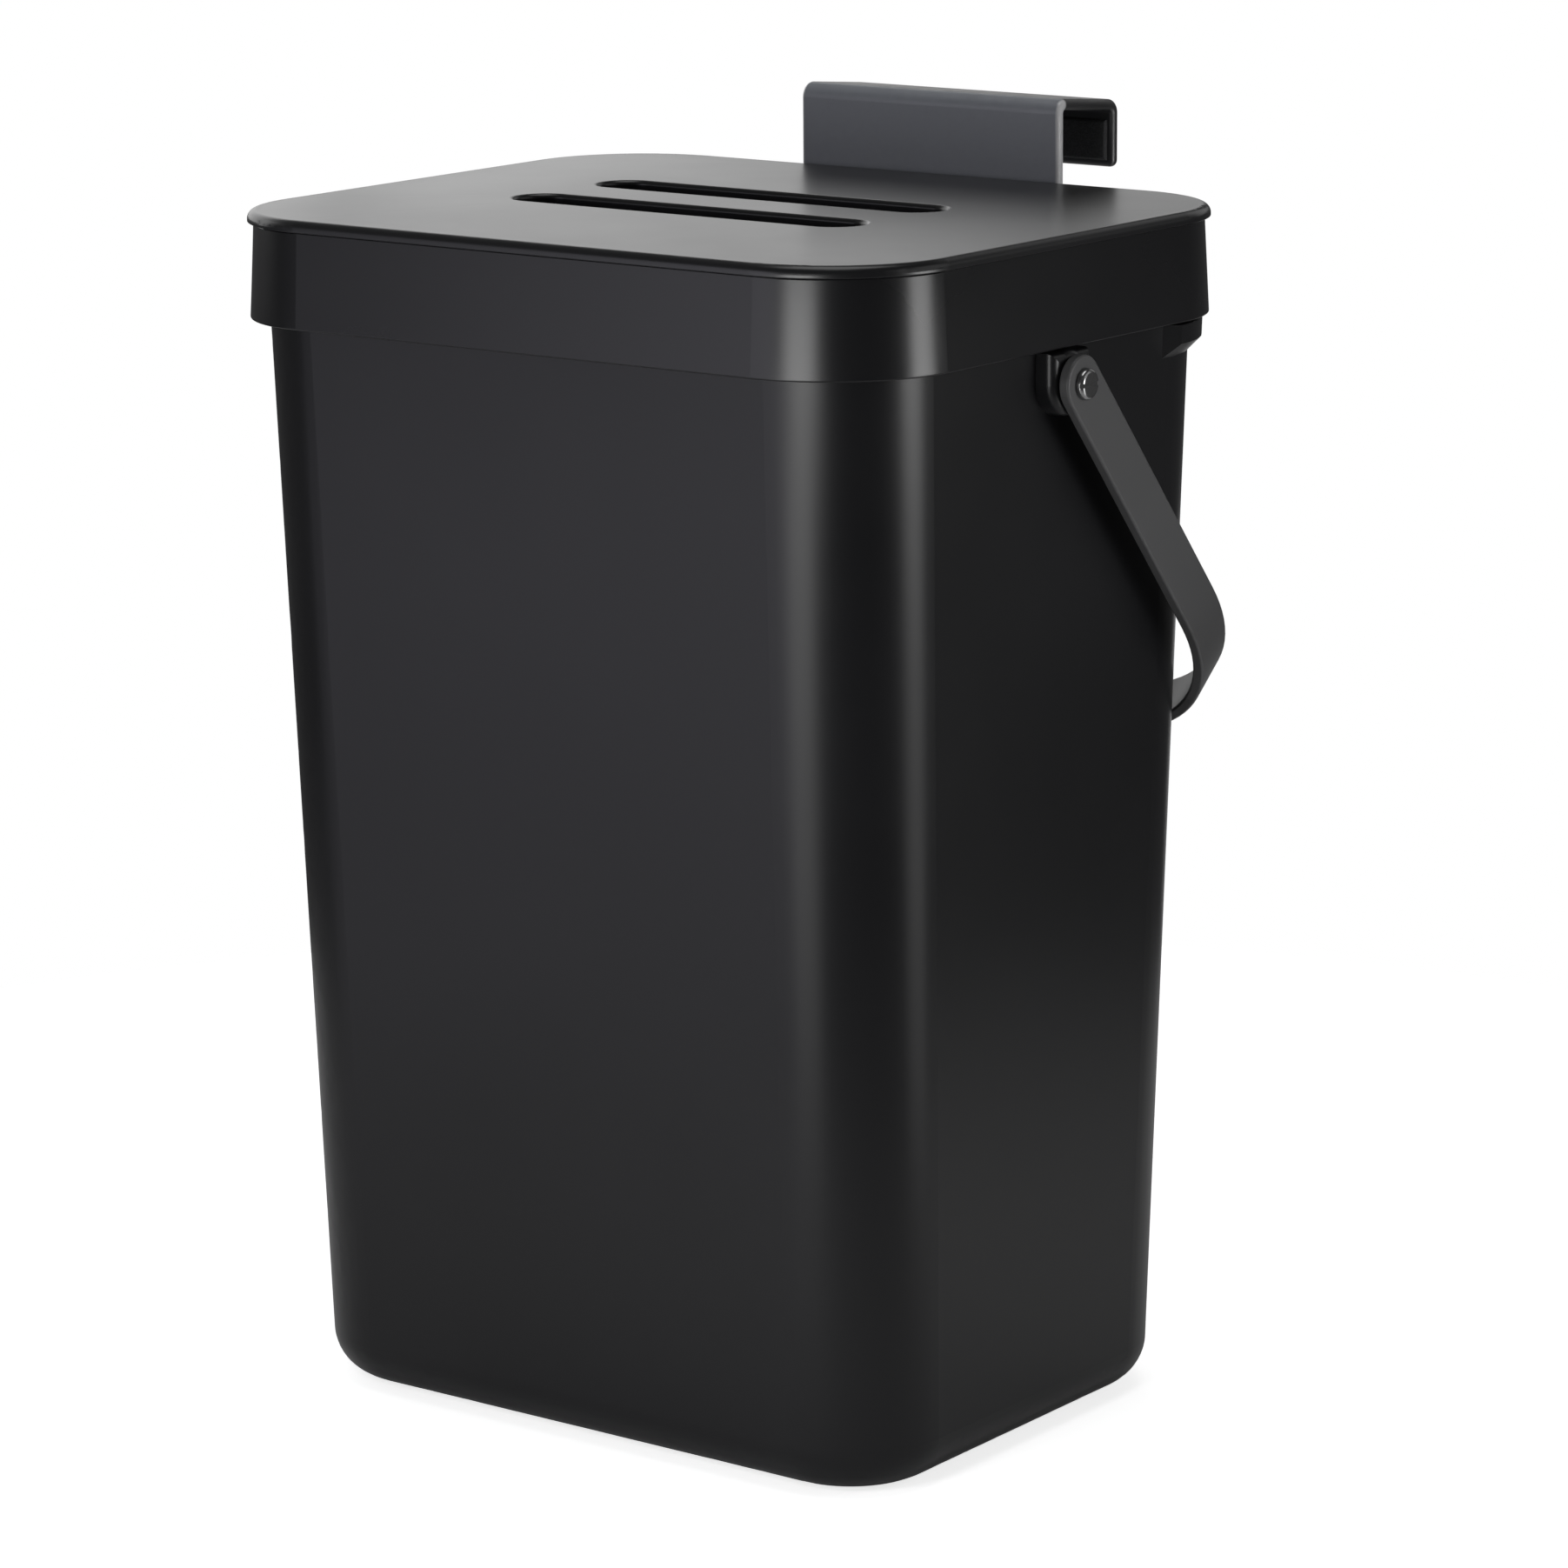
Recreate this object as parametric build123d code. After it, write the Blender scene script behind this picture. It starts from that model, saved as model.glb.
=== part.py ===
"""Hanging kitchen waste bin: tapered tub, bag ring, lid, swinging strap handle and over-door hook.

Millimetres, +Z up. The origin is the middle of the foot that the bin stands on, the long front
wall faces -Y and the door hook is at the back, on +Y.
"""
from build123d import *
from math import cos, degrees, hypot, radians, sin
import os

# Tub
base_width = 159.3
base_depth = 116.7
base_corner = 22.8
rim_width = 168.4
rim_depth = 136.9
rim_corner = 24.5
tub_height = 255.2
wall = 2.0
floor_thickness = 2.2
base_round = 10.5
foot_width = 5.0
foot_recess = 1.5
recess_corner = 7.0
rim_round = 0.6

# Bag ring, an upside-down channel over the rim
ring_wall = 1.8
ring_top_thickness = 2.0
ring_skirt = 20.6
ring_flare = 1.1
ring_play = 0.75
ring_lift_gap = 0.3
ring_inner_skirt = 13.0
ring_inner_play = 0.5
ring_round = 0.5
skirt_round = 0.4

# Lid
lip_overhang = 1.3
lid_thickness = 2.5
lid_crown = 0.5
crown_outlines = 3
crown_edge = 1.0
lid_round_share = 0.76
lid_foot_share = 0.08
plug_depth = 12.0
plug_wall = 2.2
plug_play = 0.6
slot_length = 90.5
slot_width = 13.0
slot_spacing = 29.0
slot_depth = 12.0
slot_wall = 1.8
slot_round = 1.0
slot_margin = 4.0

# Seal round the plug
seal_height = 3.0
seal_groove = 1.0
seal_play = 0.3

# Strap handle and its pivots
strap_width = 12.0
strap_thickness = 2.5
strap_corner = 41.0
strap_side_gap = 0.6
strap_rest_gap = 0.35
bend_steps = 30
rest_halvings = 40
strap_round = 0.6
swing_gap = 1.2
pivot_drop = 7.4
lug_half_width = 7.0
lug_end_gap = 0.3
lug_round = 2.0
pin_radius = 2.2
pin_play = 0.05
pin_floor = 1.7
pin_head_radius = 3.3
pin_head_thickness = 1.5
pin_head_round = 1.0
pin_head_gap = 0.15
pin_slot = 0.9

# Door hook and its foam pad
hook_width = 70.0
hook_thickness = 2.5
hook_bend = 2.0
foot_bend_share = 0.9
hook_lid_gap = 1.0
hook_rise = 18.0
door_gap = 18.0
hook_limb = 17.0
hook_fall = 2.0
hook_corner = 1.5
hook_round_share = 0.45
tongue_play = 0.3
tongue_side_play = 0.5
pad_thickness = 1.0
pad_side_edge = 1.5
pad_low_edge = 1.5

# Hanger socket and rail on the back of the tub
socket_wall = 1.8
socket_depth = 16.0
socket_roof = 2.5
socket_gap = 0.4
socket_foot_gap = 1.4
rail_depth = 2.9
rail_height = 4.0
rail_slope = 3.0
rail_run = 3.0
rail_ring_gap = 0.8

# Heights that several pieces share
ring_top = tub_height + ring_lift_gap + ring_top_thickness
ring_bottom = ring_top - ring_skirt
lid_top = ring_top + lid_thickness
pivot_z = ring_bottom - pivot_drop

# Plan of the tub's outside, at any height
width_slope = (rim_width - base_width) / 2 / tub_height
depth_slope = (rim_depth - base_depth) / 2 / tub_height
corner_slope = (rim_corner - base_corner) / tub_height


def half_width(z):
    """Distance from the middle to the tub's side wall at height z."""
    return base_width / 2 + width_slope * z


def half_depth(z):
    """Distance from the middle to the tub's front or back wall at height z."""
    return base_depth / 2 + depth_slope * z


def corner_at(z):
    """Radius of the tub's corners at height z."""
    return base_corner + corner_slope * z


def rounded(half_x, half_y, corner, z):
    """Rounded rectangle lying at height z."""
    return Plane.XY.offset(z) * RectangleRounded(2 * half_x, 2 * half_y, corner)


def tub_plan(z, inset, at=None):
    """The tub's outline at height z, drawn in by inset, placed at another height if one is given."""
    place = z if at is None else at
    return rounded(half_width(z) - inset, half_depth(z) - inset, corner_at(z) - inset, place)


def tub_block(z_low, z_high, inset):
    """Tapered block between two heights of the tub."""
    return loft([tub_plan(z_low, inset), tub_plan(z_high, inset)], ruled=True)


# Plan of the ring's outside at its top, and of its mouth
ring_half_x = half_width(tub_height) + ring_play + ring_wall
ring_half_y = half_depth(tub_height) + ring_play + ring_wall
ring_corner = rim_corner + ring_play + ring_wall
mouth_z = ring_top - ring_top_thickness - ring_inner_skirt
mouth_inset = wall + ring_inner_play + ring_wall
plug_inset = mouth_inset + plug_play

# Lid outline, which the handle and the hook both stand clear of
lid_half_x = ring_half_x + lip_overhang
lid_half_y = ring_half_y + lip_overhang
lid_corner = ring_corner + lip_overhang

# Crown of the lid, from its foot inside the rounded edge up to the flat that holds the slots
lid_round = lid_round_share * lid_thickness
crown_inset = lid_round + crown_edge
flat_half_x = slot_length / 2 + slot_margin
flat_half_y = (slot_spacing + slot_width) / 2 + slot_margin
flat_corner = slot_width / 2 + slot_margin

# Hook, worked outwards from the lid's back edge
hook_front = lid_half_y + hook_lid_gap
hook_back = hook_front + hook_thickness
limb_front = hook_back + door_gap + pad_thickness
limb_back = limb_front + hook_thickness
hook_top = lid_top + hook_rise
socket_outer = hook_front - socket_gap
tongue_back = socket_outer - socket_wall - tongue_play
roof_top = ring_bottom - rail_ring_gap
roof_low = roof_top - socket_roof
socket_low = roof_low - socket_depth
tongue_top = roof_low - tongue_play
foot_low = socket_low - socket_foot_gap - hook_thickness

# Handle, worked outwards from the lid's side and the hook's top corner
strap_inner = max(lid_half_x, ring_half_x + ring_flare) + strap_side_gap
strap_outer = strap_inner + strap_thickness
lug_end = strap_inner - lug_end_gap
bore_end = half_width(pivot_z) - wall + pin_floor
hook_outer_bend = hook_bend + hook_thickness / 2
hook_reach = hypot(limb_back - hook_outer_bend, hook_top - hook_outer_bend - pivot_z) + hook_outer_bend
strap_reach = hook_reach + swing_gap
strap_length = strap_reach + strap_thickness


def outside_tub(x, y, z):
    """Distance of a point from the tub's outline at its height, negative inside it."""
    corner = corner_at(z)
    past_x = abs(x) - half_width(z) + corner
    past_y = abs(y) - half_depth(z) + corner
    return hypot(max(past_x, 0), max(past_y, 0)) + min(max(past_x, past_y), 0) - corner


def strap_clearance(angle):
    """Least distance from the tub to the strap's inner edge, hanging at an angle below level."""
    inner_corner = strap_corner - strap_thickness
    distances = []
    for step in range(bend_steps + 1):
        turn = radians(90 * step / bend_steps)
        x = strap_inner - inner_corner + inner_corner * cos(turn)
        along = strap_reach - inner_corner + inner_corner * sin(turn)
        y = along * cos(angle) - strap_width / 2 * sin(angle)
        z = pivot_z - along * sin(angle) - strap_width / 2 * cos(angle)
        distances.append(outside_tub(x, y, z))
    return min(distances)


def rest_angle():
    """Angle below level, in degrees, at which the strap comes to rest on the sloping back wall."""
    high = radians(0)
    low = radians(90)
    for halving in range(rest_halvings):
        middle = (high + low) / 2
        if strap_clearance(middle) > strap_rest_gap:
            high = middle
        else:
            low = middle
    return degrees(high)


strap_angle = rest_angle()


def top_edges(solid):
    """Edges round the highest face."""
    return solid.faces().sort_by(Axis.Z)[-1].edges()


def bottom_edges(solid):
    """Edges round the lowest face."""
    return solid.faces().sort_by(Axis.Z)[0].edges()


def outer_edges(solid, side):
    """Edges round the face farthest out on one side."""
    return solid.faces().sort_by(Axis((0, 0, 0), (side, 0, 0)))[-1].edges()


def side_cylinder(side, radius, x_from, x_to):
    """Cylinder along the pivot axis on one side, between two distances from the middle."""
    plane = Plane(origin=(side * x_from, 0, pivot_z), x_dir=(0, 1, 0), z_dir=(side, 0, 0))
    return extrude(plane * Circle(radius), x_to - x_from)


def pivot_lug():
    """Block with a round foot on the tub's right wall, that the strap's end turns against."""
    root = half_width(pivot_z) - wall / 2
    upright = Rectangle(2 * lug_half_width, roof_top - pivot_z, align=(Align.CENTER, Align.MIN))
    side_view = Circle(lug_half_width) + upright
    lug = Pos(root, 0, pivot_z) * extrude(Plane.YZ * side_view, lug_end - root)
    return fillet(outer_edges(lug, 1), lug_round)


def back_rail():
    """Sloped ledge round the back of the tub, just under the ring, rising from the side walls."""
    straight_low = roof_top - rail_height
    slope_low = straight_low - rail_slope
    sloped = loft([tub_plan(slope_low, 0), tub_plan(straight_low, -rail_depth)], ruled=True)
    straight = tub_block(straight_low, roof_top, -rail_depth)
    side_x = half_width(slope_low)
    full_y = half_depth(roof_top) - corner_at(roof_top)
    start_y = full_y - rail_run
    far = rim_depth
    spread = (far - start_y) * rail_depth / rail_run
    corners = [(-side_x, start_y), (side_x, start_y), (side_x + spread, far), (-side_x - spread, far)]
    keep_plan = make_face(Polyline(*corners, close=True))
    keep = Pos(0, 0, slope_low) * extrude(keep_plan, roof_top - slope_low)
    return (sloped + straight) & keep


def hanger():
    """Rail, and in its middle a pocket, open below, that the hook's tongue goes up into."""
    inner_width = hook_width + 2 * tongue_side_play
    outer_width = inner_width + 2 * socket_wall
    root = half_depth(socket_low) - wall
    on_root = (Align.CENTER, Align.MIN, Align.MIN)
    block = Box(outer_width, socket_outer - root, roof_top - socket_low, align=on_root)
    hollow = Box(inner_width, socket_outer - socket_wall - root, roof_low - socket_low, align=on_root)
    place = Pos(0, root, socket_low)
    return back_rail() + place * block - place * hollow


def bucket():
    """Tub with its foot, pivot lugs, hanger socket and rail."""
    outside = tub_block(0, tub_height, 0)
    outside = fillet(bottom_edges(outside), base_round)
    lug = pivot_lug()
    outside += lug
    outside += mirror(lug, Plane.YZ)
    outside += hanger()
    floor_top = foot_recess + floor_thickness
    inside = tub_block(floor_top, tub_height + wall, wall)
    inside = fillet(bottom_edges(inside), base_round - wall)
    recess_inset = base_round + foot_width
    recess_plan = rounded(half_width(0) - recess_inset, half_depth(0) - recess_inset, recess_corner, 0)
    shell = outside - inside - extrude(recess_plan, foot_recess)
    for side in (-1, 1):
        shell -= side_cylinder(side, pin_radius, bore_end, lug_end)
    return fillet(top_edges(shell), rim_round)


def ring_plan(flare, inset, z):
    """Outline of the ring at height z, flared out and drawn in by a wall."""
    grow = flare - inset
    return rounded(ring_half_x + grow, ring_half_y + grow, ring_corner + grow, z)


def bag_ring():
    """Collar over the rim: flared outer skirt, flat top and short inner skirt."""
    under_top = ring_top - ring_top_thickness
    block = loft([ring_plan(ring_flare, 0, ring_bottom), ring_plan(0, 0, ring_top)], ruled=True)
    block = fillet(top_edges(block), ring_round)
    block = fillet(bottom_edges(block), skirt_round)
    hollow = [ring_plan(ring_flare, ring_wall, ring_bottom), ring_plan(0, ring_wall, under_top)]
    block -= loft(hollow, ruled=True)
    block += extrude(tub_plan(mouth_z, wall + ring_inner_play), ring_inner_skirt)
    return block - extrude(tub_plan(mouth_z, mouth_inset), ring_inner_skirt + ring_top_thickness)


def slot_plan(row, grow, z):
    """Outline of one finger slot, grown by a wall if one is given."""
    length = slot_length + 2 * grow
    width = slot_width + 2 * grow
    return Pos(0, row * slot_spacing / 2, z) * SlotOverall(length, width)


def lid():
    """Lipped plate with a slight crown, a plug below it and two blind finger slots."""
    plate = extrude(rounded(lid_half_x, lid_half_y, lid_corner, ring_top), lid_thickness)
    plate = fillet(top_edges(plate), lid_round)
    plate = fillet(bottom_edges(plate), lid_foot_share * lid_thickness)
    plate += loft([crown_plan(step / (crown_outlines - 1)) for step in range(crown_outlines)])
    plug_low = ring_top - plug_depth
    plug = extrude(tub_plan(mouth_z, plug_inset, plug_low), plug_depth)
    plug -= extrude(tub_plan(mouth_z, plug_inset + plug_wall, plug_low), plug_depth)
    plate += plug
    slot_floor = lid_top - slot_depth
    cup_low = slot_floor - slot_wall
    for row in (-1, 1):
        plate += extrude(slot_plan(row, slot_wall, cup_low), ring_top - cup_low)
    for row in (-1, 1):
        plate -= extrude(slot_plan(row, 0, slot_floor), slot_depth + 2 * lid_crown)
    plate = fillet(slot_rims(plate), slot_round)
    return plate - seal_space(0)


def slot_rims(plate):
    """Edges where the finger slots meet the flat on the lid's crown."""
    flat = plate.faces().sort_by(Axis.Z)[-1]
    return [edge for rim in flat.inner_wires() for edge in rim.edges()]


def between(start, end, share):
    """Value a share of the way from start to end."""
    return start + (end - start) * share


def crown_plan(share):
    """Outline of the lid's crown a share of the way from its foot to its flat, levelling off as it rises."""
    half_x = between(lid_half_x - crown_inset, flat_half_x, share)
    half_y = between(lid_half_y - crown_inset, flat_half_y, share)
    corner = between(lid_corner - crown_inset, flat_corner, share)
    return rounded(half_x, half_y, corner, lid_top + lid_crown * share * (2 - share))


def seal_space(outward):
    """Ring round the plug that the seal fills, grown outwards past the plug if asked."""
    seal_low = ring_top - plug_depth / 2 - seal_height / 2
    outer = tub_plan(mouth_z, plug_inset - outward, seal_low)
    inner = tub_plan(mouth_z, plug_inset + seal_groove, seal_low)
    return extrude(outer, seal_height) - extrude(inner, seal_height)


def lid_seal():
    """Soft ring in the plug's groove, reaching out to the ring's inner wall."""
    return seal_space(plug_play - seal_play)


def strap_outline(half, length, corner):
    """Outline of a U whose arms reach past the pivot axis, in the strap's own plane."""
    start = (-half, -strap_width / 2)
    turn_left = (-half, length - corner)
    end_left = (-half + corner, length)
    turn_right = (half - corner, length)
    end_right = (half, length - corner)
    finish = (half, -strap_width / 2)
    lines = [
        Line(start, turn_left),
        RadiusArc(turn_left, end_left, corner),
        Line(end_left, turn_right),
        RadiusArc(turn_right, end_right, corner),
        Line(end_right, finish),
        Line(finish, start),
    ]
    return make_face(lines)


def bail_handle():
    """Flat strap bent to a U, with a round end and a pin hole on each side."""
    level = Plane(
        origin=(0, 0, pivot_z),
        x_dir=(1, 0, 0),
        z_dir=(0, sin(radians(strap_angle)), cos(radians(strap_angle))),
    )
    ribbon_plan = strap_outline(strap_outer, strap_length, strap_corner)
    ribbon_plan -= strap_outline(strap_inner, strap_reach, strap_corner - strap_thickness)
    ribbon = extrude(ribbon_plan, strap_width / 2, both=True)
    side_view = Rectangle(strap_length, strap_width, align=(Align.MIN, Align.CENTER))
    side_view += Circle(strap_width / 2)
    ribbon &= extrude(Plane.YZ * side_view, strap_outer, both=True)
    rims = ribbon.edges().filter_by(Axis.Z, reverse=True)
    rims = rims.filter_by(lambda edge: edge.length > strap_width / 2)
    strap = level * fillet(rims, strap_round)
    for side in (-1, 1):
        strap -= side_cylinder(side, pin_radius + pin_play, strap_inner, strap_outer)
    return strap


def pivot_pin(side):
    """Split pin pressed into the lug, with a flat head outside the strap."""
    head_from = strap_outer + pin_head_gap
    head_to = head_from + pin_head_thickness
    shank = side_cylinder(side, pin_radius, bore_end, head_from)
    head = side_cylinder(side, pin_head_radius, head_from, head_to)
    head = fillet(outer_edges(head, side), pin_head_round)
    cut_length = 2 * pin_head_radius + pin_slot
    cut = Pos(side * head_to, 0, pivot_z) * Box(pin_head_thickness, cut_length, pin_slot)
    return shank + head - cut


def door_hook():
    """Plate bent over the door, with a tongue turned up at its foot."""
    mid = hook_thickness / 2
    points = [
        (tongue_back - mid, tongue_top),
        (tongue_back - mid, foot_low + mid),
        (hook_front + mid, foot_low + mid),
        (hook_front + mid, hook_top - mid),
        (limb_front + mid, hook_top - mid - hook_fall),
        (limb_front + mid, hook_top - hook_limb),
    ]
    foot_span = hook_front - tongue_back + hook_thickness
    foot_bend = foot_bend_share * foot_span / 2
    bends = [foot_bend, foot_bend, hook_bend, hook_bend]
    profile = Plane.YZ * trace(FilletPolyline(*points, radius=bends), hook_thickness)
    plate = extrude(profile, hook_width / 2, both=True)
    limb_low = hook_top - hook_limb
    across = plate.edges().filter_by(Axis.Y)
    corners = across.filter_by(lambda edge: abs(edge.center().Z - limb_low) < mid)
    plate = fillet(corners, hook_corner)
    return fillet(outer_edges(plate, 1) + outer_edges(plate, -1), hook_round_share * hook_thickness)


def hook_pad():
    """Foam pad on the limb's inner face."""
    pad_width = hook_width - 2 * pad_side_edge
    pad_high = hook_top - hook_fall - hook_thickness - hook_bend
    pad_low = hook_top - hook_limb + pad_low_edge
    pad = Box(pad_width, pad_thickness, pad_high - pad_low, align=(Align.CENTER, Align.MAX, Align.MIN))
    return Pos(0, limb_front, pad_low) * pad


pieces = {
    "bucket": bucket(),
    "bag_ring": bag_ring(),
    "lid": lid(),
    "lid_seal": lid_seal(),
    "bail_handle": bail_handle(),
    "pivot_pin_left": pivot_pin(-1),
    "pivot_pin_right": pivot_pin(1),
    "door_hook": door_hook(),
    "hook_pad": hook_pad(),
}

os.makedirs("parts", exist_ok=True)
for name, piece in pieces.items():
    piece.label = name
    export_step(piece, f"parts/{name}.step")

print("pivot height", round(pivot_z, 2))
print("strap rest angle", round(strap_angle, 2), "reach", round(strap_reach, 2))
print("hook front", round(hook_front, 2), "limb front", round(limb_front, 2), "top", round(hook_top, 2))
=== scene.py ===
"""Hanging kitchen waste bin in black moulded plastic, dressed and lit for its portrait."""
import bpy
import math
from mathutils import Matrix, Vector


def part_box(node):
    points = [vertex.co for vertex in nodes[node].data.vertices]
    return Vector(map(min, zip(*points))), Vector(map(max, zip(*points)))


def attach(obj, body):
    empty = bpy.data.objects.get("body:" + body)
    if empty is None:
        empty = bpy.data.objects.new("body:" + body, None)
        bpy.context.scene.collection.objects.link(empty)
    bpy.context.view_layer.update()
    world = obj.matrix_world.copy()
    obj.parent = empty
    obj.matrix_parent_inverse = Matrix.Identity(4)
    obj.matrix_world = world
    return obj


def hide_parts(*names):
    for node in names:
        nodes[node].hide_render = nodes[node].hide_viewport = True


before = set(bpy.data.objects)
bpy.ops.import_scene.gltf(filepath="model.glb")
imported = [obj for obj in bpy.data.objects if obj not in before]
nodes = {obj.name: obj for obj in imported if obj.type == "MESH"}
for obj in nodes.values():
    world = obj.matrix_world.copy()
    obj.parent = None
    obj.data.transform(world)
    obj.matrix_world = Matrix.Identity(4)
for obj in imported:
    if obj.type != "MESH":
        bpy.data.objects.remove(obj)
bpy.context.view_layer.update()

# Camera, as seen in the photograph: angles in degrees, lengths in metres, lens and sensor in millimetres
CAMERA_AZIMUTH = 36.739
CAMERA_ELEVATION = 12.678
CAMERA_ROLL = -0.385
CAMERA_DISTANCE = 1.2723
CAMERA_SLIDE = (0.0109, 0.0037)
CAMERA_AIM = Vector((0, 0, 0.130))
SENSOR = 36.0
LENS = 134.26

# Floor and surroundings: lengths in metres
FLOOR_RADIUS = 0.40
FLOOR_SIDES = 96
FLOOR_GAP = 0.0003
FLOOR_TONE = (0.8, 0.8, 0.8, 1)
FLOOR_ROUGHNESS = 0.8
FLOOR_GLOW = 0.75
WHITE = (1, 1, 1, 1)
AMBIENT = 0.07

# Lights: places and heights in metres, spread in degrees
LIGHT_AIM = Vector((0, 0, 0.13))
TOP_PLACE = Vector((0, 0, 1.5))
TOP_SIZE = 0.9
PANEL_DISTANCE = 1.5
PANEL_SPLIT = -0.1
BACKDROP_DISTANCE = 1.6
BACKDROP_LOW = 0.25
BACKDROP_HIGH = 1.3
FILL_LOW = 0.45
FILL_HIGH = 1.4
FILL_RADIANCE = 0.5
STRIP_DISTANCE = 0.32
STRIP_LOW = 0.0
STRIP_SPLIT = 0.18
STRIP_HIGH = 0.255
STRIP_FOOT_SHARE = 0.25
STRIP_SPREAD = 90
COOL_WHITE = (1.0, 0.985, 1.10)

# Usual middle range of a noise texture, which tones and gloss run across
NOISE_LOW = 0.3
NOISE_HIGH = 0.7

# Tones of the pieces
BLACK = (0.0060, 0.0060, 0.0068)
SOOT = (0.0075, 0.0075, 0.0085)
STRAP_DARK = (0.055, 0.055, 0.056)
STRAP_LIGHT = (0.063, 0.063, 0.065)
HOOK_DARK = (0.203, 0.217, 0.243)
HOOK_LIGHT = (0.223, 0.238, 0.267)
# Light grey on the hook's cut edges: a painted highlight in a bare-steel tone
EDGE_HIGHLIGHT_GREY = (0.60, 0.60, 0.61)
# Near-black over the hook's top bend and back limb, behind the front plate
BEHIND_PLATE_BLACK = (0.008, 0.008, 0.009)
RUBBER_DARK = (0.035, 0.035, 0.036)
RUBBER_LIGHT = (0.05, 0.05, 0.052)
FOAM_DARK = (0.045, 0.045, 0.046)
FOAM_LIGHT = (0.060, 0.060, 0.062)

# How far the roughness of plastic and of powder coat strays from its middle, and the plastic's grain
PLASTIC_STRAY = 0.025
COAT_STRAY = 0.05
PLASTIC_GRAIN = 0.05

# Hook: gap for the door, width of the painted highlight on the cut edge and fade of the black behind the
# front plate, in metres
DOOR_GAP = 0.018
EDGE_HIGHLIGHT_WIDTH = 0.0010
BEHIND_PLATE_FADE = 0.0006

# Seal round the lid's plug, in metres
SEAL_CORNER = 0.0198
SEAL_DEPTH = 0.0013
SEAL_LIP = 0.0005
LIP_STEPS = 6
CORNER_STEPS = 10

# Foam pad on the hook: round edge in metres and crown as a share of its thickness
PAD_EDGE = 0.0006
PAD_CROWN = 0.12
EDGE_STEPS = 5
PAD_STEPS = 24


def direction(azimuth, elevation):
    """Unit vector from the object at an azimuth, turning from the front to the right, and an elevation."""
    turn = math.radians(azimuth)
    tilt = math.radians(elevation)
    return Vector((math.sin(turn) * math.cos(tilt), -math.cos(turn) * math.cos(tilt), math.sin(tilt)))


def link(thing):
    """Put an object in the scene."""
    bpy.context.scene.collection.objects.link(thing)


def add_camera():
    """Camera at the photograph's angle, aimed at the middle of the tub."""
    back = direction(CAMERA_AZIMUTH, CAMERA_ELEVATION)
    level = direction(CAMERA_AZIMUTH + 90, 0)
    rise = back.cross(level)
    roll = math.radians(CAMERA_ROLL)
    right = level * math.cos(roll) + rise * math.sin(roll)
    up = rise * math.cos(roll) - level * math.sin(roll)
    slide_right, slide_up = CAMERA_SLIDE
    place = CAMERA_AIM + back * CAMERA_DISTANCE + right * slide_right + up * slide_up
    data = bpy.data.cameras.new("camera")
    data.sensor_width = SENSOR
    data.lens = LENS
    camera = bpy.data.objects.new("camera", data)
    camera.matrix_world = Matrix.Translation(place) @ Matrix((right, up, back)).transposed().to_4x4()
    link(camera)
    bpy.context.scene.camera = camera


class Shader:
    """A principled material and short ways to add nodes to it."""

    def __init__(self, name, **sockets):
        self.material = bpy.data.materials.new(name)
        self.material.use_nodes = True
        self.tree = self.material.node_tree
        self.main = self.tree.nodes["Principled BSDF"]
        self.place = self.node("ShaderNodeTexCoord").outputs["Object"]
        self.set(self.main, **sockets)

    def set(self, node, **sockets):
        """Set unlinked sockets, with underscores for the spaces in their names."""
        for socket, value in sockets.items():
            node.inputs[socket.replace("_", " ")].default_value = value

    def node(self, kind, **sockets):
        """New node with its unlinked sockets set."""
        made = self.tree.nodes.new(kind)
        self.set(made, **sockets)
        return made

    def join(self, output, node, socket):
        """Link an output to a socket."""
        self.tree.links.new(output, node.inputs[socket])

    def under(self, socket):
        """Outputs that already feed a socket of the material."""
        return [joined.from_socket for joined in self.main.inputs[socket].links]

    def noise(self, scale, detail=3.0):
        """Noise over the object, with its scale per metre."""
        made = self.node("ShaderNodeTexNoise", Scale=scale, Detail=detail)
        self.join(self.place, made, "Vector")
        return made.outputs["Fac"]

    def cells(self, scale):
        """Small round cells over the object, with their scale per metre."""
        made = self.node("ShaderNodeTexVoronoi", Scale=scale)
        self.join(self.place, made, "Vector")
        return made.outputs["Distance"]

    def gloss(self, value, low, high):
        """Roughness running between two values across the noise's middle range."""
        made = self.node(
            "ShaderNodeMapRange", From_Min=NOISE_LOW, From_Max=NOISE_HIGH, To_Min=low, To_Max=high
        )
        self.join(value, made, "Value")
        self.join(made.outputs["Result"], self.main, "Roughness")

    def tint(self, value, dark, light):
        """Base colour running between two tones across the noise's middle range."""
        made = self.node("ShaderNodeValToRGB")
        first, last = made.color_ramp.elements
        first.position = NOISE_LOW
        last.position = NOISE_HIGH
        first.color = (*dark, 1)
        last.color = (*light, 1)
        self.join(value, made, "Fac")
        self.join(made.outputs["Color"], self.main, "Base Color")

    def reach(self, axis, start, end):
        """Mask that rises from 0 to 1 between two distances from the middle along an axis."""
        split = self.node("ShaderNodeSeparateXYZ")
        self.join(self.place, split, "Vector")
        size = self.node("ShaderNodeMath")
        size.operation = "ABSOLUTE"
        self.join(split.outputs[axis], size, 0)
        made = self.node("ShaderNodeMapRange", From_Min=start, From_Max=end)
        self.join(size.outputs["Value"], made, "Value")
        return made.outputs["Result"]

    def cover(self, mask, colour):
        """Another tone over the base colour where a mask is 1."""
        made = self.node("ShaderNodeMixRGB", Color2=(*colour, 1))
        self.join(mask, made, "Fac")
        for output in self.under("Base Color"):
            self.join(output, made, "Color1")
        self.join(made.outputs["Color"], self.main, "Base Color")

    def relief(self, height, strength, depth):
        """Bump on top of the relief already there, with its depth in metres."""
        made = self.node("ShaderNodeBump", Strength=strength, Distance=depth)
        self.join(height, made, "Height")
        for output in self.under("Normal"):
            self.join(output, made, "Normal")
        self.join(made.outputs["Normal"], self.main, "Normal")


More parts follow.
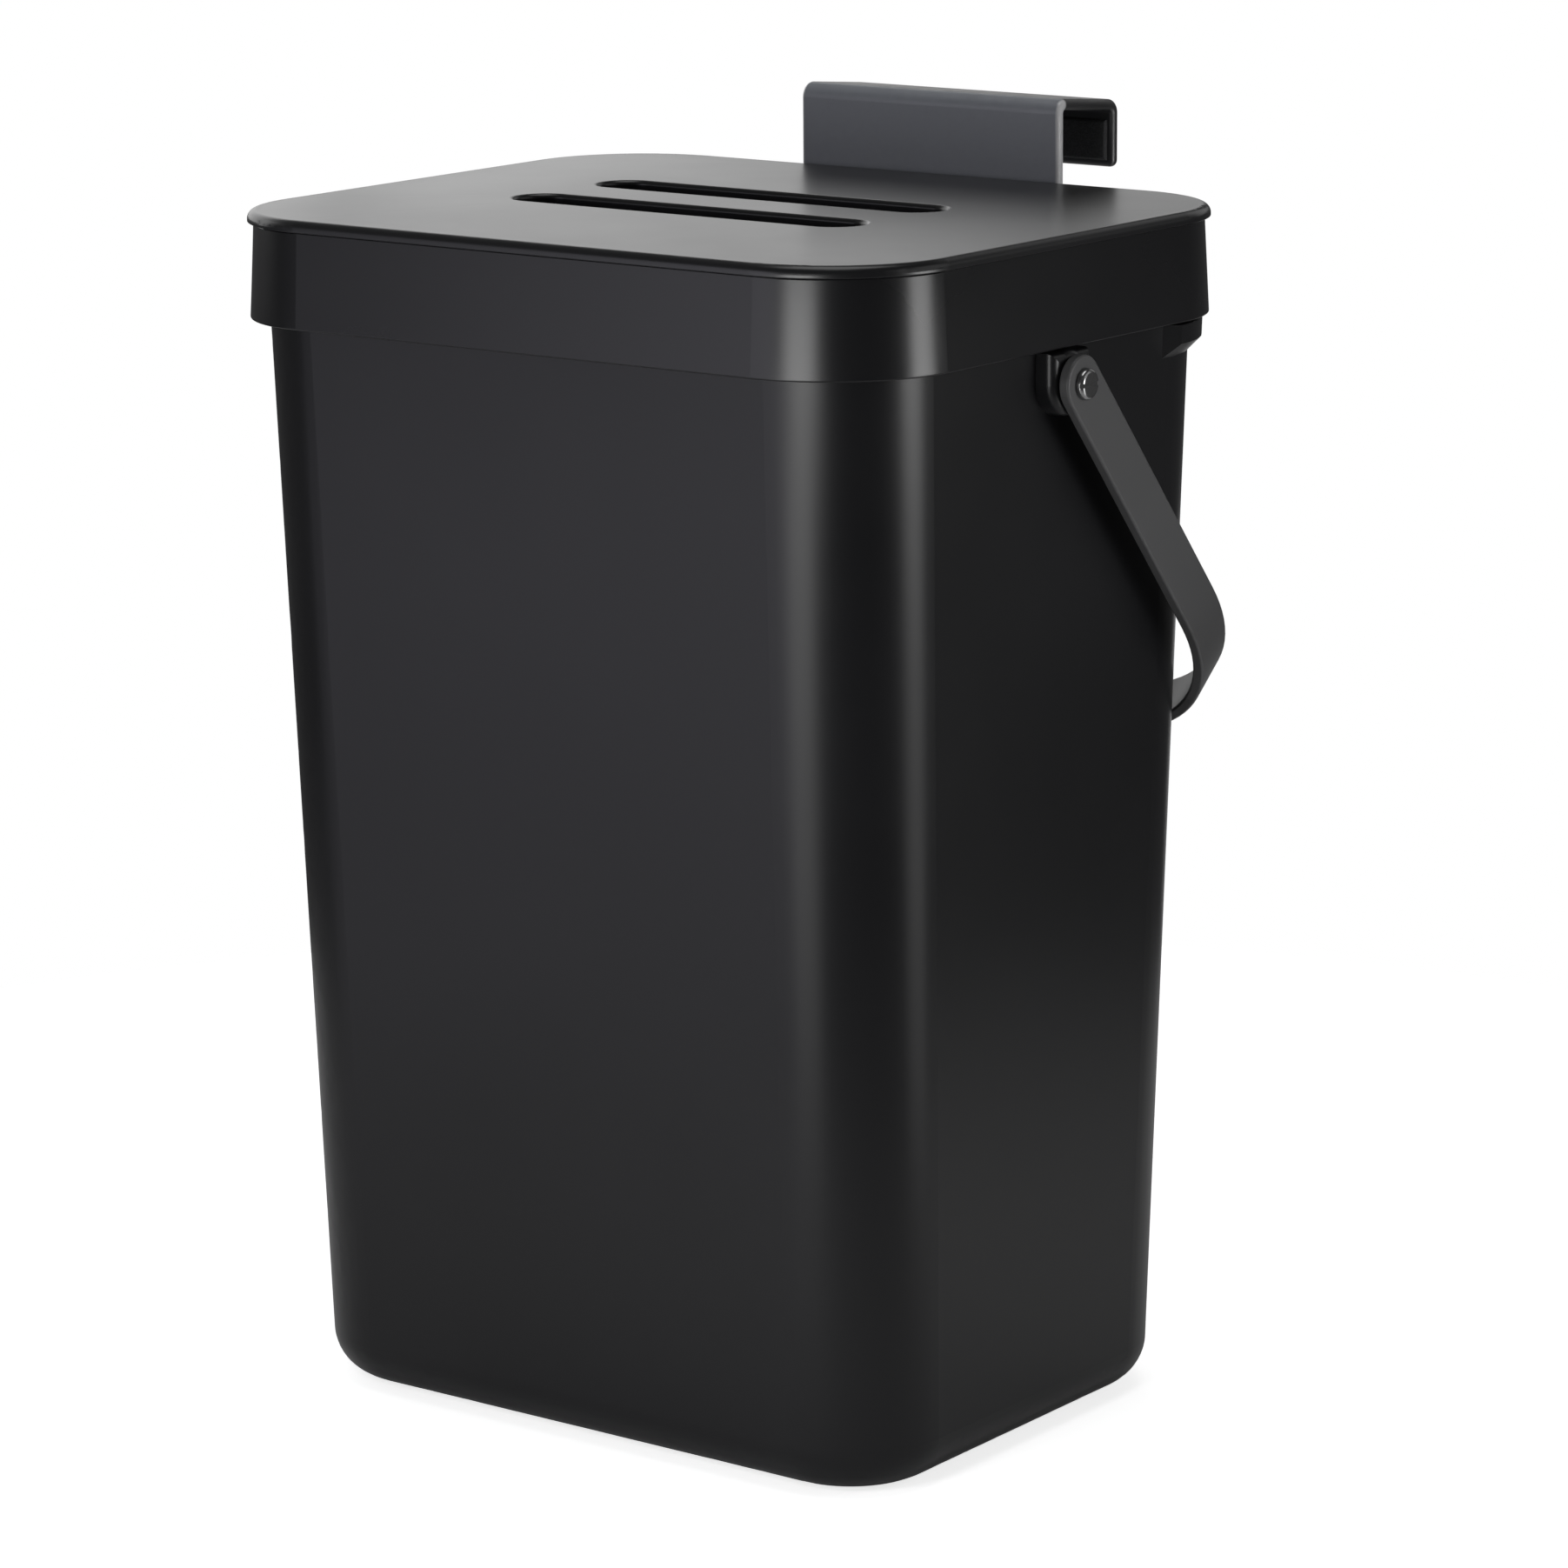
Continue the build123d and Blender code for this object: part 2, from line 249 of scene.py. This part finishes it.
def moulded_plastic(name, dark, light, roughness, grain, ior):
    """Moulded plastic: fine spark-eroded grain, faint flow marks and slightly uneven gloss."""
    shader = Shader(name, IOR=ior)
    flow = shader.noise(scale=14.0, detail=5.0)
    shader.tint(flow, dark, light)
    shader.gloss(flow, roughness - PLASTIC_STRAY, roughness + PLASTIC_STRAY)
    shader.relief(shader.noise(scale=9.0, detail=1.0), strength=0.05, depth=0.0006)
    shader.relief(shader.noise(scale=3200.0), strength=grain, depth=0.00005)
    return shader.material


def powder_coat(name, dark, light, roughness, ior):
    """Hook's finish: orange-peel powder coat, a painted highlight in steel grey on the cut edges, black
    behind the plate.
    """
    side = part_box("door_hook")[1][0]
    plate_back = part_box("hook_pad")[0][1] - DOOR_GAP
    shader = Shader(name, IOR=ior)
    dust = shader.noise(scale=420.0, detail=4.0)
    shader.tint(dust, dark, light)
    # Painted highlight: light grey along the cut edges of the front plate
    shader.cover(shader.reach("X", side - EDGE_HIGHLIGHT_WIDTH, side - EDGE_HIGHLIGHT_WIDTH / 2), EDGE_HIGHLIGHT_GREY)
    # Near-black over everything behind the front plate
    shader.cover(shader.reach("Y", plate_back, plate_back + BEHIND_PLATE_FADE), BEHIND_PLATE_BLACK)
    shader.gloss(dust, roughness - COAT_STRAY, roughness + COAT_STRAY)
    shader.relief(shader.cells(scale=900.0), strength=0.12, depth=0.00008)
    shader.relief(shader.noise(scale=2400.0), strength=0.08, depth=0.00003)
    return shader.material


def rubber(name, dark, light):
    """Soft rubber: dull, with a dusty bloom and a faint skin."""
    shader = Shader(name, IOR=1.45)
    bloom = shader.noise(scale=160.0, detail=5.0)
    shader.tint(bloom, dark, light)
    shader.gloss(bloom, low=0.55, high=0.75)
    shader.relief(shader.noise(scale=1800.0), strength=0.15, depth=0.00005)
    return shader.material


def foam(name, dark, light):
    """Closed-cell foam: open cut cells at the surface and a dull, uneven tone."""
    shader = Shader(name, IOR=1.35)
    pores = shader.cells(scale=2600.0)
    shader.tint(pores, dark, light)
    shader.gloss(shader.noise(scale=300.0), low=0.8, high=0.95)
    shader.relief(pores, strength=0.5, depth=0.00015)
    return shader.material


def dress(node, material):
    """Give a CAD node one material."""
    for slot in nodes[node].material_slots:
        slot.material = material


def new_piece(name, points, faces, material):
    """Smooth mesh piece with one material."""
    mesh = bpy.data.meshes.new(name)
    mesh.from_pydata(points, [], faces)
    mesh.materials.append(material)
    for face in mesh.polygons:
        face.use_smooth = True
    piece = bpy.data.objects.new(name, mesh)
    link(piece)
    return piece


def closed_quads(rows, columns):
    """Faces of a grid that closes on itself both ways."""
    faces = []
    for row in range(rows):
        for column in range(columns):
            next_row = (row + 1) % rows
            next_column = (column + 1) % columns
            corners = [(row, column), (next_row, column), (next_row, next_column), (row, next_column)]
            faces.append([r * columns + c for r, c in corners])
    return faces


def loop_points(half_x, half_y, corner, inset, height):
    """Points round a rounded rectangle, drawn in by an inset, at one height."""
    centres = [(1, 1, 0), (-1, 1, 90), (-1, -1, 180), (1, -1, 270)]
    points = []
    for side_x, side_y, start in centres:
        for step in range(CORNER_STEPS + 1):
            turn = math.radians(start + 90 * step / CORNER_STEPS)
            x = side_x * (half_x - corner) + (corner - inset) * math.cos(turn)
            y = side_y * (half_y - corner) + (corner - inset) * math.sin(turn)
            points.append((x, y, height))
    return points


def lip_profile(low, high):
    """Seal's section as insets and heights: two round lips outside and a flat root in the groove."""
    middle = (low + high) / 2
    quarter = (high - low) / 4
    profile = [(SEAL_DEPTH, low)]
    for centre in (middle - quarter, middle + quarter):
        for step in range(LIP_STEPS + 1):
            turn = math.radians(180 * step / LIP_STEPS - 90)
            profile.append((SEAL_LIP * (1 - math.cos(turn)), centre + quarter * math.sin(turn)))
    profile.append((SEAL_DEPTH, high))
    return profile


def make_seal(material):
    """Lipped gasket in the plug's groove."""
    low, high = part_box("lid_seal")
    profile = lip_profile(low[2], high[2])
    points = []
    for inset, height in profile:
        points += loop_points(high[0], high[1], SEAL_CORNER, inset, height)
    columns = len(points) // len(profile)
    seal = new_piece("lid_gasket", points, closed_quads(len(profile), columns), material)
    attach(seal, "lid")
    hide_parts("lid_seal")


def spread(low, high):
    """Positions across the pad, crowded where its edges are round."""
    inner_low = low + PAD_EDGE
    inner_high = high - PAD_EDGE
    turns = [math.radians(90 * step / EDGE_STEPS) for step in range(EDGE_STEPS)]
    edge = [PAD_EDGE * (1 - math.cos(turn)) for turn in turns]
    inner = [inner_low + (inner_high - inner_low) * step / PAD_STEPS for step in range(PAD_STEPS + 1)]
    return [low + step for step in edge] + inner + [high - step for step in reversed(edge)]


def make_pad(material):
    """Foam pad on the hook's limb: flat on the metal, with soft cut edges and a slight crown."""
    low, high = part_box("hook_pad")
    across = spread(low[0], high[0])
    upright = spread(low[2], high[2])
    thickness = high[1] - low[1]
    points = []
    for z in upright:
        for x in across:
            room = min(x - low[0], high[0] - x, z - low[2], high[2] - z)
            share = min(room / PAD_EDGE, 1)
            crown = math.sin(math.pi * (z - low[2]) / (high[2] - low[2]))
            rise = thickness * (1 - PAD_CROWN + PAD_CROWN * crown) * math.sqrt(1 - (1 - share) ** 2)
            points.append((x, high[1] - rise, z))
    columns = len(across)
    faces = []
    for row in range(len(upright) - 1):
        for column in range(columns - 1):
            start = row * columns + column
            faces.append((start, start + 1, start + columns + 1, start + columns))
    rim = list(range(columns))
    rim += [row * columns + columns - 1 for row in range(1, len(upright))]
    rim += [len(points) - 1 - column for column in range(1, columns)]
    rim += [row * columns for row in range(len(upright) - 2, 0, -1)]
    faces.append(tuple(reversed(rim)))
    pad = new_piece("hook_foam", points, faces, material)
    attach(pad, "hook")
    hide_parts("hook_pad")


def softbox(name, place, aim, width, height, radiance):
    """Area light at a place, facing an aim."""
    data = bpy.data.lights.new(name, "AREA")
    data.shape = "RECTANGLE"
    data.size = width
    data.size_y = height
    data.energy = radiance * math.pi * width * height
    light = bpy.data.objects.new(name, data)
    light.location = place
    light.rotation_euler = (place - aim).to_track_quat("Z", "Y").to_euler()
    light.visible_camera = False
    link(light)
    return light


def panel(name, azimuth, distance, low, high, width, radiance, share=1.0, along="Y"):
    """Upright softbox facing the object between two heights.

    It is dimmed to a share of its radiance at its foot or, along X, at one side.
    """
    middle = (low + high) / 2
    place = direction(azimuth, 0) * distance + Vector((0, 0, middle))
    light = softbox(name, place, Vector((0, 0, middle)), width, high - low, radiance)
    light.data.use_nodes = True
    tree = light.data.node_tree
    geometry = tree.nodes.new("ShaderNodeNewGeometry")
    split = tree.nodes.new("ShaderNodeSeparateXYZ")
    grade = tree.nodes.new("ShaderNodeMapRange")
    grade.inputs["To Min"].default_value = share
    grade.inputs["To Max"].default_value = 1.0
    tree.links.new(geometry.outputs["Parametric"], split.inputs["Vector"])
    tree.links.new(split.outputs[along], grade.inputs["Value"])
    tree.links.new(grade.outputs["Result"], tree.nodes["Emission"].inputs["Strength"])
    return light


def add_front():
    """Cool panels in front of the object, to its left, that fade towards the floor."""
    keys = [
        panel("front_low", azimuth=-28, distance=PANEL_DISTANCE, low=-0.42, high=PANEL_SPLIT,
              width=1.3, radiance=1.8, share=0.0),
        panel("front_high", azimuth=-24, distance=PANEL_DISTANCE, low=PANEL_SPLIT, high=0.75,
              width=0.73, radiance=1.3),
    ]
    for key in keys:
        key.data.color = COOL_WHITE


def add_back():
    """Backdrop that fades to one side, a low panel under it and two dim fills for the lid."""
    panel("back_low", azimuth=-150, distance=PANEL_DISTANCE, low=-0.5, high=PANEL_SPLIT,
          width=1.1, radiance=0.9, share=0.05)
    panel("backdrop", azimuth=-104, distance=BACKDROP_DISTANCE, low=BACKDROP_LOW, high=BACKDROP_HIGH,
          width=2.0, radiance=1.45)
    panel("backdrop_edge", azimuth=-146, distance=BACKDROP_DISTANCE, low=BACKDROP_LOW, high=BACKDROP_HIGH,
          width=0.56, radiance=1.3, share=0.38, along="X")
    panel("fill_right", azimuth=115, distance=BACKDROP_DISTANCE, low=FILL_LOW, high=FILL_HIGH,
          width=1.7, radiance=FILL_RADIANCE)
    panel("fill_back", azimuth=178, distance=BACKDROP_DISTANCE, low=FILL_LOW, high=FILL_HIGH,
          width=0.9, radiance=FILL_RADIANCE)


def add_strips():
    """Narrow strips close to the front and the right, brighter near the lid, for the corner's two glints."""
    panel("strip_front_low", azimuth=11, distance=STRIP_DISTANCE, low=STRIP_LOW, high=STRIP_SPLIT,
          width=0.12, radiance=3.8, share=STRIP_FOOT_SHARE)
    panel("strip_front_high", azimuth=18, distance=STRIP_DISTANCE, low=STRIP_SPLIT, high=STRIP_HIGH,
          width=0.12, radiance=8.5)
    panel("strip_right_low", azimuth=102, distance=STRIP_DISTANCE, low=STRIP_LOW, high=STRIP_SPLIT,
          width=0.10, radiance=2.7, share=STRIP_FOOT_SHARE)
    strip = panel("strip_right_high", azimuth=101, distance=STRIP_DISTANCE, low=STRIP_SPLIT, high=STRIP_HIGH,
                  width=0.11, radiance=2.1)
    strip.data.spread = math.radians(STRIP_SPREAD)


def add_world():
    """White surroundings for the camera and a dim room for the light."""
    world = bpy.data.worlds.new("studio")
    world.use_nodes = True
    bpy.context.scene.world = world
    tree = world.node_tree
    white = tree.nodes["Background"]
    white.inputs["Color"].default_value = WHITE
    dim = tree.nodes.new("ShaderNodeBackground")
    dim.inputs["Color"].default_value = WHITE
    dim.inputs["Strength"].default_value = AMBIENT
    path = tree.nodes.new("ShaderNodeLightPath")
    mix = tree.nodes.new("ShaderNodeMixShader")
    tree.links.new(path.outputs["Is Camera Ray"], mix.inputs["Fac"])
    tree.links.new(dim.outputs["Background"], mix.inputs[1])
    tree.links.new(white.outputs["Background"], mix.inputs[2])
    tree.links.new(mix.outputs["Shader"], tree.nodes["World Output"].inputs["Surface"])


def add_floor():
    """Round white table top, bright enough to melt into the surroundings."""
    points = []
    for side in range(FLOOR_SIDES):
        turn = 2 * math.pi * side / FLOOR_SIDES
        points.append((FLOOR_RADIUS * math.cos(turn), FLOOR_RADIUS * math.sin(turn), -FLOOR_GAP))
    shader = Shader("floor_white", Base_Color=FLOOR_TONE, Roughness=FLOOR_ROUGHNESS, Emission_Color=WHITE)
    path = shader.node("ShaderNodeLightPath")
    boost = shader.node("ShaderNodeMath")
    boost.operation = "MULTIPLY"
    boost.inputs[1].default_value = FLOOR_GLOW
    shader.join(path.outputs["Is Camera Ray"], boost, 0)
    shader.join(boost.outputs["Value"], shader.main, "Emission Strength")
    mesh = bpy.data.meshes.new("floor")
    mesh.from_pydata(points, [], [range(FLOOR_SIDES)])
    mesh.materials.append(shader.material)
    floor = bpy.data.objects.new("floor", mesh)
    link(floor)


def dress_nodes():
    """Materials of the CAD nodes that stay."""
    tub = moulded_plastic("tub_plastic", BLACK, SOOT, roughness=0.32, grain=PLASTIC_GRAIN, ior=1.41)
    ring = moulded_plastic("ring_plastic", BLACK, SOOT, roughness=0.28, grain=PLASTIC_GRAIN, ior=1.46)
    lid = moulded_plastic("lid_plastic", BLACK, SOOT, roughness=0.30, grain=PLASTIC_GRAIN, ior=1.5)
    strap = moulded_plastic("strap_plastic", STRAP_DARK, STRAP_LIGHT, roughness=0.5, grain=0.08, ior=1.5)
    dress("bucket", tub)
    dress("bag_ring", ring)
    dress("lid", lid)
    dress("bail_handle", strap)
    for side in ("left", "right"):
        pin = moulded_plastic(f"pin_{side}_plastic", BLACK, SOOT, roughness=0.2, grain=0.02, ior=3.6)
        dress(f"pivot_pin_{side}", pin)
    dress("door_hook", powder_coat("hook_paint", HOOK_DARK, HOOK_LIGHT, roughness=0.42, ior=1.9))


add_camera()
add_world()
add_floor()
add_front()
add_back()
add_strips()
softbox("top", TOP_PLACE, LIGHT_AIM, width=TOP_SIZE, height=TOP_SIZE, radiance=2.1)
dress_nodes()
make_seal(rubber("seal_rubber", RUBBER_DARK, RUBBER_LIGHT))
make_pad(foam("pad_foam", FOAM_DARK, FOAM_LIGHT))
bpy.context.scene.view_settings.view_transform = "Standard"
